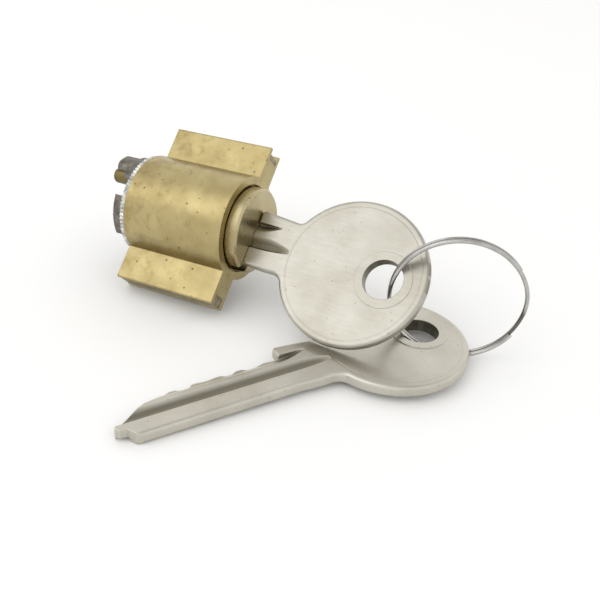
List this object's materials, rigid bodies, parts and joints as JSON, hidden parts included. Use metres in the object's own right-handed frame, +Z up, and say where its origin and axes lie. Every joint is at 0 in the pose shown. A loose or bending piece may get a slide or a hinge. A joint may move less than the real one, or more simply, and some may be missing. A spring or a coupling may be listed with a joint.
{
  "type": "pin tumbler lock cylinder",
  "caption": "Short round brass lock cylinder with flat wings, a key in its plug, and a matching spare key on a split ring.",
  "frame": {"origin": "middle of the set's footprint, on the surface that it lies on", "axes": "+X along the plug towards the key, +Z up"},
  "size_m": [0.0734, 0.0544, 0.0245],
  "materials": {
    "aged_brass": "cast and machined, aged, lightly pitted",
    "plug_brass": "turned, satin",
    "pin_brass": "turned, bright",
    "stud_brass": "dull",
    "strip_steel": "drawn, dull grey",
    "spring_steel": "drawn wire",
    "bright_steel": "bright zinc plate",
    "dark_steel": "dark, oiled",
    "nickel_plate": "nickel plated, worn satin",
    "ring_steel": "bright drawn wire"
  },
  "bodies": {
    "shell": {"shell": "aged_brass", "upper_cover_strip": "strip_steel", "lower_cover_strip": "strip_steel", "driver_pin_1": "pin_brass", "driver_pin_2": "pin_brass", "driver_pin_3": "pin_brass", "driver_pin_4": "pin_brass", "driver_pin_5": "pin_brass", "pin_spring_1": "spring_steel", "pin_spring_2": "spring_steel", "pin_spring_3": "spring_steel", "pin_spring_4": "spring_steel", "pin_spring_5": "spring_steel"},
    "plug": {"plug": "plug_brass", "key_pin_1": "pin_brass", "key_pin_2": "pin_brass", "key_pin_3": "pin_brass", "key_pin_4": "pin_brass", "key_pin_5": "pin_brass", "toothed_washer": "bright_steel", "drive_cam": "dark_steel", "cam_stud_1": "stud_brass", "cam_stud_2": "stud_brass"},
    "key": {"key": "nickel_plate"},
    "ring": {"split_ring": "ring_steel"},
    "spare_key": {"spare_key": "nickel_plate"}
  },
  "joints": [
    {"name": "plug_turn", "type": "hinge", "parent": "shell", "child": "plug", "pos_m": [-0.01104, 0.01539, 0.01294], "axis": [0.9979, -0.0009, 0.0644], "continuous": true},
    {"name": "key_slide", "type": "slide", "parent": "plug", "child": "key", "axis": [0.9979, -0.0009, 0.0644], "range_m": [0, 0.03]},
    {"name": "ring_swing", "type": "hinge", "parent": "key", "child": "ring", "pos_m": [0.01649, 0.01344, 0.01283], "axis": [-0.1498, -0.0221, -0.9885], "range_deg": [-45, 2]},
    {"name": "spare_key_swing", "type": "hinge", "parent": "ring", "child": "spare_key", "pos_m": [0.02106, 0.01542, 0.00216], "axis": [0.7974, 0.3027, -0.5221], "range_deg": [-2, 45]}
  ]
}
